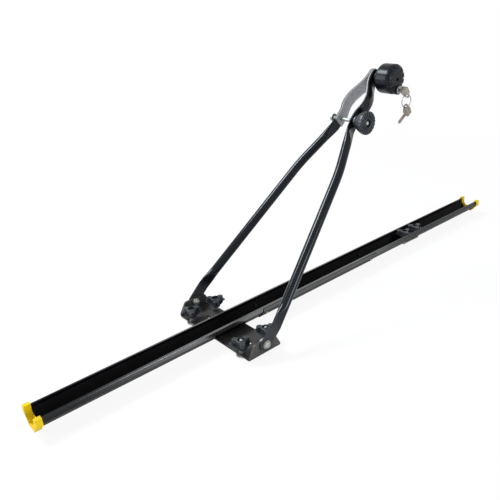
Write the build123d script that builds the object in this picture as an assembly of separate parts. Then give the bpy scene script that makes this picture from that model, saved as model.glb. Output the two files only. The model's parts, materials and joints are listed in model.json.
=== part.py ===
from build123d import *
import os
from math import atan2, cos, degrees, pi, radians, sin, tan

# Roof bike carrier: a sheet-steel wheel rail in two joined halves, clamped to two roof bars,
# with a pair of tube arms that lean along the rail and hold the bicycle's frame in a lined jaw.
# X runs along the rail towards the bicycle's front wheel, Y across it and Z up.
# The origin is the middle of the base plate's underside, where it sits on the roof bar.
# All lengths are in millimetres and all angles in degrees.

# Wheel rail
rail_length = 1320.0
rail_tail = 400.0
rail_height = 27.5
rail_floor_width = 19.0
rail_width = 49.0
rail_sheet = 1.2
rail_skirt = 9.5
rail_hem = 4.5
rail_bend_radius = 3.0
rail_hem_radius = 1.6

# Sleeve that joins the two rail halves from outside
joiner_plate_gap = 36.5
joiner_length = 370.0
joiner_sheet = 1.5
joiner_gap = 0.1
joiner_lip_gap = 2.5
joiner_screw_inset = 14.0
joiner_screw_height = 9.0
joiner_screw_radius = 2.0
joiner_screw_head_radius = 3.8
joiner_screw_head_height = 2.2
joiner_nut_across = 7.0
joiner_nut_height = 2.6

# End caps
cap_length = 11.6
cap_grip = 9.0
cap_web = 1.8
cap_wall = 2.6
cap_liner = 1.5
cap_ear_height = 15.5
cap_clearance = 0.15
cap_web_height = 11.0
cap_web_dip = 2.5
cap_edge_radius = 1.0

# Base plate and its upturned flanges
plate_width = 77.0
plate_half_span = 111.0
plate_sheet = 3.0
plate_bend_radius = 4.5
flange_height = 30.5
flange_taper = 13.0
plate_corner_radius = 6.0
plate_slot_length = 14.0
plate_slot_width = 7.0
plate_slot_inset = 47.0

# Rivets that hold the rail on the base plate
rivet_radius = 2.5
rivet_head_radius = 5.0
rivet_head_height = 1.6
rivet_head_fillet = 1.0
rivet_tail_height = 1.2
rivet_tail_chamfer = 0.6
rivet_spacing = 52.0

# Roof-bar clamps: a strap, two bolts and two knobs each
clamp_bolt_spacing = 62.0
clamp_bolt_inset = 32.0
clamp_bolt_radius = 3.0
near_bolt_rise = 31.0
far_bolt_rise = 23.0
clamp_head_across = 10.0
clamp_head_height = 4.0
strap_width = 20.0
strap_sheet = 3.0
strap_overhang = 11.0
strap_gap = 0.3
strap_rib_depth = 1.5
strap_rib_width = 7.0
strap_rib_margin = 12.0
washer_radius = 6.5
washer_sheet = 1.2
bolt_clearance = 0.3
channel_clamp_x = 619.0
channel_bolt_spacing = 48.0
channel_bolt_rise = 24.0
bolt_chamfer_share = 0.25

# Lobed knobs
knob_lobe_count = 3
knob_lobe_reach = 13.0
knob_lobe_radius = 6.6
knob_waist_radius = 10.0
knob_web_radius = 4.5
knob_head_height = 11.5
knob_stem_height = 11.0
knob_stem_foot_radius = 6.0
knob_stem_top_radius = 8.5
knob_hub_radius = 5.4
knob_hub_depth = 4.0
knob_edge_radius = 1.6
knob_seat_gap = 0.3
insert_radius = 4.2
insert_rise = 4.0
insert_depth = 13.0
insert_flange_radius = 6.0
insert_flange_sheet = 1.4
thread_clearance = 0.08

# Arms: steel tubes pressed flat at both ends
arm_lean = 46.0
arm_tube_radius = 9.5
arm_flat = 3.2
arm_pivot_height = 23.0
arm_ear_gap = 0.4
arm_ear_straight = 38.0
arm_ear_bend_radius = 30.0
arm_ear_slant = 22.0
arm_ear_blend = 42.0
arm_knee_s = 366.0
arm_knee_y = 54.5
arm_knee_radius = 350.0
arm_jaw_blend = 44.0
arm_least_flat = 0.4
arm_blend_steps = 3
pivot_bolt_radius = 4.0
pivot_clearance = 0.08
pivot_head_radius = 7.0
pivot_head_height = 4.2
pivot_head_fillet = 3.4
pivot_nut_across = 13.0
pivot_nut_height = 6.0
pivot_nut_dome_radius = 5.6
pivot_nut_dome_height = 3.0
pivot_washer_sheet = 1.5
pivot_washer_radius = 8.5

# Jaw, drawn in the arm plane: s is the distance from the pivots along the lean
jaw_start_s = 470.0
jaw_neck_s = 503.0
jaw_belly_s = 533.0
jaw_tip_s = 584.0
jaw_bolt_s = 600.5
jaw_bolt_drop = 4.0
jaw_end_reach = 13.0
jaw_neck_y = 20.5
jaw_belly_y = 29.0
jaw_tip_y = 4.8
jaw_neck_radius = 26.0
jaw_belly_radius = 30.0
jaw_tip_radius = 24.0
jaw_corner_radius = 11.0
lining_start_s = 476.0
lining_sheet = 2.4
lining_rim = 1.6
lining_rim_wrap = 2.2

# Clamp bolt across the foot of the jaw, with its round knob
clamp_s = 487.0
jaw_bolt_radius = 4.0
jaw_bolt_proud = 4.0
jaw_bolt_slack = 14.5
jaw_head_across = 13.0
jaw_head_height = 5.3
jaw_washer_radius = 8.5
jaw_washer_sheet = 1.6
round_knob_radius = 24.5
round_knob_length = 31.0
round_knob_gap = 0.3
round_knob_neck_radius = 13.0
round_knob_neck_length = 5.0
round_knob_shoulder_radius = 21.0
round_knob_shoulder_length = 12.0
round_knob_rim = 8.0
round_knob_recess_radius = 8.5
round_knob_recess_depth = 6.0
round_knob_groove_count = 16
round_knob_groove_radius = 1.5
round_knob_groove_margin = 1.0
round_knob_edge_radius = 2.4

# Locking knob on the bolt across the jaw's tip
tip_bolt_radius = 3.0
tip_cap_radius = 6.6
tip_cap_height = 7.5
tip_cap_fillet = 5.2
tip_collar_radius = 7.5
tip_collar_length = 4.0
lock_knob_radius = 30.2
lock_knob_back_length = 39.3
lock_knob_front_length = 9.1
lock_knob_collar_radius = 16.5
lock_knob_collar_length = 3.0
lock_knob_taper_length = 9.6
lock_knob_rim = 2.0
lock_knob_face_radius = 19.0
lock_knob_dome_bulge = 1.8
lock_knob_seam = 0.6
lock_knob_flute_count = 12
lock_knob_flute_radius = 4.6
lock_knob_flute_depth = 1.7
lock_knob_gap = 0.3
lock_socket_radius = 3.4
lock_socket_depth = 6.0
lock_side = 4.4
lock_drop = 21.5
lock_boss_radius = 9.8
lock_boss_rise = 2.5
lock_boss_fillet = 1.2
lock_bezel_radius = 8.4
lock_bezel_rise = 1.4
lock_bezel_depth = 1.5
lock_bezel_fillet = 0.7
lock_barrel_radius = 5.6
lock_barrel_length = 26.0
lock_barrel_rise = 0.7
lock_clearance = 0.08

# Keys and their ring: the bow stands askew to the blade, with its hole in the far corner
key_sheet = 2.0
key_blade_width = 6.2
key_blade_inside = 20.0
key_blade_outside = 5.0
key_tip_chamfer = 2.0
key_bow_back = 8.3
key_bow_front = 13.3
key_bow_foot = 6.5
key_bow_waist = 15.0
key_bow_length = 24.0
key_bow_slant = 6.5
key_bow_corner = 2.6
key_hole_radius = 2.4
key_hole_side = 8.6
key_hole_height = 18.2
key_notch_radius = 1.1
key_notch_pitch = 3.6
key_notch_count = 4
key_slot_clearance = 0.15
ring_radius = 13.0
ring_wire_radius = 0.8
ring_gap = 0.2
ring_turn = 8.0

# How far a cutting body runs past the faces it cuts
overcut = 5.0

front_end = rail_length - rail_tail
rail_middle = plate_width / 2 + joiner_plate_gap + joiner_length / 2
rail_bottom = plate_sheet
rail_half_width = rail_width / 2
rail_half_floor = rail_floor_width / 2
rail_skirt_foot = rail_height - rail_skirt
rail_slope = atan2(rail_skirt_foot, rail_half_width - rail_half_floor)
plate_slot_y = plate_half_span - plate_slot_inset
clamp_bolt_y = plate_half_span - clamp_bolt_inset
strap_top = -strap_gap
channel_strap_top = rail_bottom - strap_gap
channel_seat = rail_bottom + rail_sheet
knob_height = knob_stem_height + knob_head_height
knob_foot = insert_rise + insert_flange_sheet
bore_radius = clamp_bolt_radius + thread_clearance
round_bore = jaw_bolt_radius + thread_clearance
lock_knob_length = lock_knob_back_length + lock_knob_front_length

# The arm plane holds both pivots and the jaw. Its own X runs up the lean, its own Y is the
# carrier's Y, and its own Z faces the bicycle's rear wheel.
up_lean = Vector(sin(radians(arm_lean)), 0, cos(radians(arm_lean)))
off_plane = Vector(-cos(radians(arm_lean)), 0, sin(radians(arm_lean)))
arm_plane = Plane(origin=(0, 0, arm_pivot_height), x_dir=up_lean, z_dir=off_plane)
arm_ear_y = plate_half_span + arm_ear_gap + arm_flat / 2
band_width = pi * (arm_tube_radius - arm_flat / 2) + arm_flat

parts = {}


def add(name, *shapes):
    solids = [solid for shape in shapes for solid in shape.solids()]
    parts[name] = solids[0] if len(solids) == 1 else Compound(children=solids)


def parallel(wire, distance):
    # The bent line moved to its left by distance, or to its right where that is negative.
    if not distance:
        return wire
    side = Side.LEFT if distance > 0 else Side.RIGHT
    return wire.offset_2d(abs(distance), side=side, closed=False)


def strip(points, radii, inner, outer):
    # The band between two parallels of a bent line, both measured to the line's left.
    wire = FilletPolyline(*points, radius=radii).wire()
    near = parallel(wire, inner)
    far = parallel(wire, outer)
    crossing = []
    for start in (near @ 0, near @ 1):
        end = min((far @ 0, far @ 1), key=lambda point: (point - start).length)
        crossing.append(Edge.make_line(start, end))
    return make_face([*near.edges(), *far.edges(), *crossing])


def both_sides(half):
    return half + mirror(half, Plane.YZ)


def along_rail(section, start, end):
    # Extrudes a section, drawn with X across the carrier and Y up from the rail's floor.
    return Pos(start, 0, rail_bottom) * extrude(Plane.YZ * section, amount=end - start)


def hexagon(across, height):
    return extrude(RegularPolygon(across / 2, 6, major_radius=False), amount=height)


def tube(radius, bore, height):
    return extrude(Circle(radius) - Circle(bore), amount=height)


def drill(radius, depth):
    # A round cutter that runs depth to both sides of its middle.
    return Cylinder(radius, 2 * depth)


def pocket(radius, floor, top):
    # A round cutter from a pocket's floor up past the face at top.
    return Pos(0, 0, floor) * extrude(Circle(radius), amount=top - floor + overcut)


def dome(radius, height):
    # The upper half of a ball, flattened to the given height.
    half = Sphere(radius) & extrude(Circle(radius + overcut), amount=radius + overcut)
    return scale(half, (1, 1, height / radius))


def clamp_bolt_places():
    for side in (-1, 1):
        for end in (-1, 1):
            yield end * clamp_bolt_spacing / 2, side * clamp_bolt_y


def channel_bolt_places():
    for end in (-1, 1):
        yield channel_clamp_x + end * channel_bolt_spacing / 2, 0


def rivet_places():
    return (-rivet_spacing / 2, rivet_spacing / 2)


def pivot_axis(y):
    # Along the pivots' common axis, with local Z pointing to positive Y.
    return Plane(origin=(0, y, arm_pivot_height), x_dir=(1, 0, 0), z_dir=(0, 1, 0)).location


def across(s, y=0, drop=0):
    # A place in the arm plane, or drop below it, with local Z pointing to positive Y.
    return Plane(origin=(s, y, -drop), x_dir=(1, 0, 0), z_dir=(0, 1, 0)).location


def rail_outline(grow):
    # Corners from the middle of the floor to the top of the skirt, offset outwards by grow.
    half_turn = rail_slope / 2
    skirt_turn = (pi / 2 - rail_slope) / 2
    floor = (rail_half_floor + grow * tan(half_turn), -grow)
    skirt = (rail_half_width + grow, rail_skirt_foot - grow * tan(skirt_turn))
    top = (rail_half_width + grow, rail_height)
    return floor, skirt, top


def rail_section():
    floor, skirt, top = rail_outline(0)
    hem_end = (top[0] - rail_hem, top[1])
    radii = [rail_bend_radius, rail_bend_radius, rail_hem_radius]
    return both_sides(strip([(0, 0), floor, skirt, top, hem_end], radii, 0, rail_sheet))


def rail_half(start, end, holes):
    shape = along_rail(rail_section(), start, end)
    for x, radius in holes:
        shape -= Pos(x, 0, rail_bottom) * drill(radius, rail_sheet + overcut)
    return shape


def joiner_screws():
    # Places of the sleeve's four screws, on the sloping walls near its ends.
    for x in (rail_middle - joiner_length / 2 + joiner_screw_inset,
              rail_middle + joiner_length / 2 - joiner_screw_inset):
        for side in (-1, 1):
            y = rail_half_floor + joiner_screw_height / tan(rail_slope)
            origin = (x, side * y, rail_bottom + joiner_screw_height)
            outward = (0, side * sin(rail_slope), -cos(rail_slope))
            yield Plane(origin=origin, x_dir=(1, 0, 0), z_dir=outward)


def joiner():
    floor, skirt, top = rail_outline(joiner_gap)
    top = (top[0], rail_height - joiner_lip_gap)
    radii = [rail_bend_radius, rail_bend_radius]
    section = both_sides(strip([(0, floor[1]), floor, skirt, top], radii, 0, -joiner_sheet))
    half = joiner_length / 2
    return along_rail(section, rail_middle - half, rail_middle + half)


def screw_holes(shape):
    for place in joiner_screws():
        shape -= place * drill(joiner_screw_radius + joiner_gap, joiner_sheet + overcut)
    return shape


def joiner_screw(place):
    seat = joiner_gap + joiner_sheet
    tail = rail_sheet + joiner_nut_height
    head = Pos(0, 0, seat) * dome(joiner_screw_head_radius, joiner_screw_head_height)
    shank = Pos(0, 0, -tail) * extrude(Circle(joiner_screw_radius), amount=tail + seat)
    return place * (head + shank)


def joiner_nut(place):
    nut = hexagon(joiner_nut_across, joiner_nut_height)
    nut -= drill(joiner_screw_radius, joiner_nut_height + overcut)
    return place * Pos(0, 0, -rail_sheet - joiner_nut_height) * nut


def end_cap():
    # Drawn at the rail's tail end: the wheel channel opens towards positive X.
    grow = cap_clearance + cap_wall
    floor, skirt, top = rail_outline(grow)
    inset = rail_sheet + cap_clearance + cap_liner
    inner_floor, inner_skirt, _ = rail_outline(-inset)
    ear_foot = rail_height + cap_wall - cap_ear_height
    ear_out = rail_half_width + cap_clearance + cap_wall
    ear_in = rail_half_width - rail_hem - cap_clearance - cap_liner
    slope = tan(rail_slope)
    outer_at_foot = floor[0] + (ear_foot - floor[1]) / slope
    inner_at_ear = inner_floor[1] + (ear_in - inner_floor[0]) * slope
    outline = [
        (0, floor[1]), floor, (outer_at_foot, ear_foot), (ear_out, ear_foot),
        (ear_out, rail_height + cap_wall), (ear_in, rail_height + cap_wall),
        (ear_in, inner_at_ear), inner_floor, (0, inner_floor[1]),
    ]
    section = both_sides(make_face(Polyline(*outline, close=True)))
    shape = along_rail(section, 0, cap_length)
    shape = fillet(shape.edges().filter_by(Axis.X).group_by(Axis.Z)[-1], cap_edge_radius)
    web_top = inner_floor[1] + cap_web_height
    web_half = inner_floor[0] + cap_web_height / slope
    web_line = Polyline((-web_half, web_top), (-inner_floor[0], inner_floor[1]),
                        (inner_floor[0], inner_floor[1]), (web_half, web_top))
    web_dip = ThreePointArc((web_half, web_top), (0, web_top - cap_web_dip), (-web_half, web_top))
    web = make_face([*web_line.edges(), web_dip.edge()])
    shape += along_rail(web, cap_length - cap_web, cap_length)
    slot = rail_slot(cap_clearance)
    return shape - along_rail(slot, cap_length - cap_grip, cap_length + overcut)


def rail_slot(clearance):
    floor, skirt, top = rail_outline(clearance)
    top = (top[0], rail_height + clearance)
    hem_end = (rail_half_width - rail_hem - clearance, top[1])
    radii = [rail_bend_radius, rail_bend_radius, rail_hem_radius]
    depth = rail_sheet + 2 * clearance
    return both_sides(strip([(0, floor[1]), floor, skirt, top, hem_end], radii, 0, depth))


def base_plate():
    points = [(0, 0), (plate_half_span, 0), (plate_half_span, flange_height)]
    section = both_sides(strip(points, [plate_bend_radius], 0, plate_sheet))
    half = plate_width / 2
    shape = extrude(Plane.YZ * section, amount=half, both=True)
    flange_foot = plate_sheet + plate_bend_radius
    side = Polyline((-half, -overcut), (half, -overcut), (half, flange_foot),
                    (half - flange_taper, flange_height), (flange_taper - half, flange_height),
                    (-half, flange_foot), close=True)
    mask = make_face(side)
    mask = fillet(mask.vertices().group_by(Axis.Y)[-1], plate_corner_radius)
    reach = plate_half_span + overcut
    shape &= extrude(Plane.XZ * mask, amount=reach, both=True)
    for x, y in clamp_bolt_places():
        shape -= Pos(x, y) * drill(clamp_bolt_radius + bolt_clearance, plate_sheet + overcut)
    for x in rivet_places():
        shape -= Pos(x, 0) * drill(rivet_radius, plate_sheet + overcut)
    slot = extrude(SlotOverall(plate_slot_length, plate_slot_width, rotation=90),
                   amount=plate_sheet + overcut, both=True)
    for side in (-1, 1):
        shape -= Pos(0, side * plate_slot_y) * slot
    return shape - pivot_axis(0) * drill(pivot_bolt_radius + bolt_clearance, reach)


def rivet():
    # A low domed head in the channel and a flat one under the plate.
    grip = plate_sheet + rail_sheet
    head = Pos(0, 0, grip) * extrude(Circle(rivet_head_radius), amount=rivet_head_height)
    head = fillet(head.edges().group_by(Axis.Z)[-1], rivet_head_fillet)
    tail = extrude(Circle(rivet_head_radius), amount=-rivet_tail_height)
    tail = chamfer(tail.edges().group_by(Axis.Z)[0], rivet_tail_chamfer)
    return head + tail + extrude(Circle(rivet_radius), amount=grip)


def strap(spacing, top):
    # Flat strap along X with rounded ends, a pressed rib between its two bolt holes.
    outline = SlotCenterToCenter(spacing + 2 * strap_overhang - strap_width, strap_width)
    shape = Pos(0, 0, top - strap_sheet) * extrude(outline, amount=strap_sheet)
    rib_length = spacing - 2 * strap_rib_margin
    rib = SlotOverall(rib_length, strap_rib_width)
    shape += Pos(0, 0, top - strap_sheet - strap_rib_depth) * extrude(rib, amount=strap_rib_depth)
    groove = SlotOverall(rib_length - strap_rib_depth, strap_rib_width - strap_rib_depth)
    shape -= Pos(0, 0, top - strap_rib_depth) * extrude(groove, amount=strap_rib_depth + overcut)
    for end in (-1, 1):
        shape -= Pos(end * spacing / 2, 0, top) * drill(clamp_bolt_radius, strap_sheet + overcut)
    return shape


def hex_bolt(radius, length, across, head):
    # Head from 0 down, shank from 0 up to a chamfered tip.
    bevel = radius * bolt_chamfer_share
    shank = extrude(Circle(radius), amount=length)
    shank = chamfer(shank.edges().group_by(Axis.Z)[-1], bevel)
    cap = chamfer(hexagon(across, head).edges().group_by(Axis.Z)[0], bevel)
    return shank + Pos(0, 0, -head) * cap


def clamp_bolts(places, top, rise):
    # Two bolts with a washer each, hanging through the strap whose top is given.
    under = top - strap_sheet - washer_sheet
    bolt = hex_bolt(clamp_bolt_radius, rise - under, clamp_head_across, clamp_head_height)
    washer = tube(washer_radius, clamp_bolt_radius, washer_sheet)
    bolts = [Pos(x, y, under) * bolt for x, y in places]
    washers = [Pos(x, y, under) * washer for x, y in places]
    return bolts, washers


def lobed_knob():
    # Stem from 0 up, then the lobes, with a hub recess for the bolt's tip.
    lobes = Circle(knob_waist_radius)
    for place in PolarLocations(knob_lobe_reach, knob_lobe_count):
        lobes += place * Circle(knob_lobe_radius)
    lobes = fillet(lobes.vertices(), knob_web_radius)
    head = extrude(lobes, amount=knob_head_height)
    rims = head.edges().filter_by(GeomType.LINE, reverse=True)
    head = fillet(rims, knob_edge_radius)
    stem = Cone(knob_stem_foot_radius, knob_stem_top_radius, knob_stem_height,
                align=(Align.CENTER, Align.CENTER, Align.MIN))
    shape = stem + Pos(0, 0, knob_stem_height) * head
    shape -= pocket(knob_hub_radius, knob_height - knob_hub_depth, knob_height)
    return shape - drill(bore_radius, knob_height + overcut)


def knob_insert():
    # Threaded bush: a flange on the seat, a short collar below the stem, a body in the stem.
    flange = tube(insert_flange_radius, bore_radius, insert_flange_sheet)
    return flange + tube(insert_radius, bore_radius, knob_foot + insert_depth)


def clamp_knob(x, y, seat):
    knob = Pos(0, 0, knob_foot) * (lobed_knob() - drill(insert_radius, insert_depth))
    place = Pos(x, y, seat + knob_seat_gap)
    return place * knob, place * knob_insert()


def pivot_bolt():
    # On the positive Y side, head outside the arm's ear and shank inwards.
    seat = arm_ear_y + arm_flat / 2 + arm_ear_gap + pivot_washer_sheet
    foot = plate_half_span - plate_sheet - pivot_nut_height
    head = extrude(Circle(pivot_head_radius), amount=pivot_head_height)
    head = fillet(head.edges().group_by(Axis.Z)[-1], pivot_head_fillet)
    shank = Pos(0, 0, foot - seat) * extrude(Circle(pivot_bolt_radius), amount=seat - foot)
    return pivot_axis(seat) * (head + shank)


def pivot_washer():
    seat = arm_ear_y + arm_flat / 2 + arm_ear_gap
    return pivot_axis(seat) * tube(pivot_washer_radius, pivot_bolt_radius, pivot_washer_sheet)


def pivot_nut():
    nut = hexagon(pivot_nut_across, pivot_nut_height)
    nut += Pos(0, 0, pivot_nut_height) * dome(pivot_nut_dome_radius, pivot_nut_dome_height)
    nut -= extrude(Circle(pivot_bolt_radius), amount=pivot_nut_height)
    seat = plate_half_span - plate_sheet
    return pivot_axis(seat) * Rot(180, 0, 0) * nut


def tube_place(s, y, angle):
    # Section plane of an arm at a point of its line: local X runs across the pressed width.
    ahead = (cos(angle), sin(angle), 0)
    return Plane(origin=(s, y, 0), x_dir=(0, 0, 1), z_dir=ahead)


def tube_section(press):
    # The tube's outline, from round at 0 to pressed flat at 1, with its girth kept.
    radius = arm_tube_radius + (arm_flat / 2 - arm_tube_radius) * press
    flat = max(pi * (arm_tube_radius - radius), arm_least_flat)
    return SlotCenterToCenter(flat, 2 * radius)


def pressed_blend(start, end, press_start, press_end):
    # A loft between two stations (s, y, angle) as the tube is pressed flat or opens out.
    sections = []
    for step in range(arm_blend_steps + 1):
        share = step / arm_blend_steps
        s, y, angle = [a + (b - a) * share for a, b in zip(start, end)]
        eased = share * share * (3 - 2 * share)
        press = press_start + (press_end - press_start) * eased
        sections.append(tube_place(s, y, angle) * tube_section(press))
    return loft(sections)


def jaw_end(margin):
    return jaw_bolt_s + jaw_end_reach + margin


def jaw_band(inner, outer, margin):
    # The pressed band of one jaw side between two parallels, with margin added at its edges.
    line = [(jaw_start_s, jaw_neck_y), (jaw_neck_s, jaw_neck_y), (jaw_belly_s, jaw_belly_y),
            (jaw_tip_s, jaw_tip_y), (jaw_end(margin), jaw_tip_y)]
    face = strip(line, [jaw_neck_radius, jaw_belly_radius, jaw_tip_radius], inner, outer)
    width = band_width + 2 * margin
    length = jaw_end(margin) - jaw_start_s
    outline = Pos(jaw_start_s + length / 2, 0) * Rectangle(length, width)
    outline = fillet(outline.vertices().group_by(Axis.X)[-1], jaw_corner_radius + margin)
    mask = extrude(Plane.XZ * outline, amount=jaw_belly_y + overcut, both=True)
    return extrude(face, amount=width / 2, both=True) & mask


def arm():
    # The arm on the positive Y side, in the arm plane's own coordinates.
    lower = atan2(arm_knee_y - arm_ear_y, arm_knee_s - arm_ear_straight)
    upper = atan2(jaw_neck_y - arm_knee_y, jaw_start_s - arm_knee_s)
    slant_s = arm_ear_straight + arm_ear_slant * cos(lower)
    slant_y = arm_ear_y + arm_ear_slant * sin(lower)
    foot_s = slant_s + arm_ear_blend * cos(lower)
    foot_y = slant_y + arm_ear_blend * sin(lower)
    top_s = jaw_start_s - arm_jaw_blend * cos(upper)
    top_y = jaw_neck_y - arm_jaw_blend * sin(upper)
    line = FilletPolyline((foot_s, foot_y), (arm_knee_s, arm_knee_y), (top_s, top_y),
                          radius=arm_knee_radius)
    shape = sweep(tube_place(foot_s, foot_y, lower) * tube_section(0), path=line.wire())
    shape += pressed_blend((slant_s, slant_y, lower), (foot_s, foot_y, lower), 1, 0)
    shape += pressed_blend((top_s, top_y, upper), (jaw_start_s, jaw_neck_y, 0), 0, 1)
    ear_line = [(0, arm_ear_y), (arm_ear_straight, arm_ear_y), (slant_s, slant_y)]
    ear = strip(ear_line, [arm_ear_bend_radius], -arm_flat / 2, arm_flat / 2)
    shape += extrude(ear, amount=band_width / 2, both=True)
    ear_end = extrude(Plane.XZ * Circle(band_width / 2), amount=arm_flat / 2, both=True)
    shape += Pos(0, arm_ear_y, 0) * ear_end
    shape += jaw_band(-arm_flat / 2, arm_flat / 2, 0)
    shape -= across(0) * drill(pivot_bolt_radius + pivot_clearance, arm_ear_y + overcut)
    return shape - jaw_holes()


def jaw_holes():
    reach = jaw_belly_y + overcut
    foot = across(clamp_s) * drill(jaw_bolt_radius + pivot_clearance, reach)
    tip = across(jaw_bolt_s, 0, jaw_bolt_drop) * drill(tip_bolt_radius + pivot_clearance, reach)
    return foot + tip


def lining():
    # Rubber lining inside one jaw band, with a rim that wraps the band's edges and its end.
    shape = jaw_band(-arm_flat / 2 - lining_sheet, lining_rim_wrap - arm_flat / 2, lining_rim)
    shape -= jaw_band(-arm_flat / 2, arm_flat, 0)
    reach = jaw_end(2 * lining_rim) - lining_start_s
    middle = Pos(lining_start_s + reach / 2, 0, 0)
    shape &= middle * Box(reach, 2 * (jaw_belly_y + overcut), band_width + 2 * overcut)
    return shape - jaw_holes()


def both_arms(name, shape):
    add(f"far_{name}", arm_plane.location * shape)
    add(f"near_{name}", arm_plane.location * mirror(shape, Plane.XZ))


def both_flanges(name, shape):
    add(f"far_{name}", shape)
    add(f"near_{name}", mirror(shape, Plane.XZ))


def jaw_clamp_bolt():
    # Head on the far side of the jaw, not drawn up, and tip in the round knob's recess.
    seat = jaw_neck_y + arm_flat / 2 + jaw_bolt_slack + jaw_washer_sheet
    tip = round_knob_face() - round_knob_recess_depth + jaw_bolt_proud
    bolt = hex_bolt(jaw_bolt_radius, seat + tip, jaw_head_across, jaw_head_height)
    return arm_plane.location * across(clamp_s, seat) * Rot(180, 0, 0) * bolt


def jaw_washers():
    washer = tube(jaw_washer_radius, jaw_bolt_radius, jaw_washer_sheet)
    seat = jaw_neck_y + arm_flat / 2
    far = arm_plane.location * across(clamp_s, seat + jaw_bolt_slack) * washer
    near = arm_plane.location * across(clamp_s, -seat - jaw_washer_sheet) * washer
    return far, near


def round_knob_seat():
    return jaw_neck_y + arm_flat / 2 + jaw_washer_sheet + round_knob_gap


def round_knob_face():
    return round_knob_seat() + round_knob_length


def round_knob():
    # Local Z runs from the seat to the face.
    length = round_knob_length
    neck = round_knob_neck_length
    rim = length - round_knob_rim
    profile = Polyline((0, 0), (round_knob_neck_radius, 0), (round_knob_neck_radius, neck),
                       (round_knob_shoulder_radius, round_knob_shoulder_length),
                       (round_knob_radius, rim), (round_knob_radius, length), (0, length),
                       close=True)
    shape = revolve(Plane.XZ * make_face(profile), Axis.Z)
    shape = fillet(shape.edges().group_by(Axis.Z)[-1], round_knob_edge_radius)
    shape -= pocket(round_knob_recess_radius, length - round_knob_recess_depth, length)
    inner = round_knob_recess_radius + round_knob_groove_margin
    outer = round_knob_radius - round_knob_edge_radius - round_knob_groove_margin
    reach = (inner + outer) / 2
    groove = SlotOverall(outer - inner, 2 * round_knob_groove_radius)
    groove_floor = length - round_knob_groove_radius
    for place in PolarLocations(reach, round_knob_groove_count):
        shape -= Pos(0, 0, groove_floor) * extrude(place * groove, amount=length)
    return shape - drill(round_bore, length + overcut)


def tip_seat():
    return jaw_tip_y + arm_flat / 2


def tip_bolt():
    # Domed cap on the far side, shank through both band ends into the locking knob.
    cap = extrude(Circle(tip_cap_radius), amount=tip_cap_height)
    cap = fillet(cap.edges().group_by(Axis.Z)[-1], tip_cap_fillet)
    length = 2 * tip_seat() + tip_collar_length + lock_knob_back_length
    shank = extrude(Circle(tip_bolt_radius), amount=-length)
    return arm_plane.location * across(jaw_bolt_s, tip_seat(), jaw_bolt_drop) * (cap + shank)


def tip_collar():
    collar = tube(tip_collar_radius, tip_bolt_radius, tip_collar_length)
    seat = -tip_seat() - tip_collar_length
    return arm_plane.location * across(jaw_bolt_s, seat, jaw_bolt_drop) * collar


def lock_place():
    # Local Z runs from the locking knob's back to its face, towards negative Y.
    y = -tip_seat() - tip_collar_length - lock_knob_gap
    centre = (arm_plane.location * Pos(jaw_bolt_s, y, -jaw_bolt_drop)).position
    return Plane(origin=centre, x_dir=(1, 0, 0), z_dir=(0, -1, 0)).location


def lock_axis():
    return Pos(lock_side, -lock_drop, 0)


def lock_knob_back():
    # Barrel with a collar and a taper towards the jaw.
    taper = lock_knob_collar_length + lock_knob_taper_length
    back = lock_knob_back_length
    groove = lock_knob_radius - lock_knob_seam
    profile = Polyline((0, 0), (lock_knob_collar_radius, 0),
                       (lock_knob_collar_radius, lock_knob_collar_length),
                       (lock_knob_radius, taper), (lock_knob_radius, back - lock_knob_seam),
                       (groove, back), (0, back), close=True)
    shape = revolve(Plane.XZ * make_face(profile), Axis.Z)
    shape -= drill(tip_bolt_radius + thread_clearance, back + overcut)
    return shape - lock_axis() * pocket(lock_barrel_radius + lock_clearance, lock_pocket(), back)


def lock_pocket():
    return lock_knob_length - lock_barrel_length


def lock_knob_front():
    # Domed cap with radial finger flutes, a boss for the lock and a socket for the bolt.
    back, top = lock_knob_back_length, lock_knob_length
    shoulder = back + lock_knob_rim
    middle = ((lock_knob_radius + lock_knob_face_radius) / 2 + lock_knob_dome_bulge,
              (shoulder + top) / 2 + lock_knob_dome_bulge)
    side = Polyline((lock_knob_face_radius, top), (0, top), (0, back), (lock_knob_radius, back),
                    (lock_knob_radius, shoulder))
    dome = ThreePointArc((lock_knob_radius, shoulder), middle, (lock_knob_face_radius, top))
    shape = revolve(Plane.XZ * make_face([*side.edges(), dome.edge()]), Axis.Z)
    shape -= lock_flutes(middle)
    boss = extrude(Circle(lock_boss_radius), amount=lock_knob_front_length + lock_boss_rise)
    boss = fillet(boss.edges().group_by(Axis.Z)[-1], lock_boss_fillet)
    boss_face = top + lock_boss_rise
    shape += Pos(0, 0, back) * lock_axis() * boss
    shape -= pocket(lock_socket_radius, top - lock_socket_depth, top)
    shape -= lock_axis() * pocket(lock_barrel_radius + lock_clearance, back, boss_face)
    rebate = pocket(lock_bezel_radius + lock_clearance, boss_face - lock_bezel_depth, boss_face)
    return shape - lock_axis() * rebate


def lock_flutes(middle):
    # Round grooves that run out from the face over the dome, square to the dome's chord.
    fall = atan2(lock_knob_front_length - lock_knob_rim, lock_knob_radius - lock_knob_face_radius)
    lift = lock_knob_flute_radius - lock_knob_flute_depth
    groove = Rot(0, 90, 0) * Cylinder(lock_knob_flute_radius, lock_knob_radius)
    centre = Pos(middle[0] + lift * sin(fall), 0, middle[1] + lift * cos(fall))
    groove = centre * Rot(0, degrees(fall), 0) * groove
    pitch = 360 / lock_knob_flute_count
    return [Rot(0, 0, pitch * turn) * groove for turn in range(lock_knob_flute_count)]


def lock_bezel():
    top = lock_knob_length + lock_boss_rise
    height = lock_bezel_depth + lock_bezel_rise
    ring = tube(lock_bezel_radius, lock_barrel_radius + lock_clearance, height)
    rim = ring.edges().group_by(Axis.Z)[-1].sort_by(SortBy.LENGTH)[-1]
    ring = fillet(rim, lock_bezel_fillet)
    return Pos(0, 0, top - lock_bezel_depth) * lock_axis() * ring


def barrel_face():
    return lock_knob_length + lock_boss_rise + lock_barrel_rise


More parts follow.
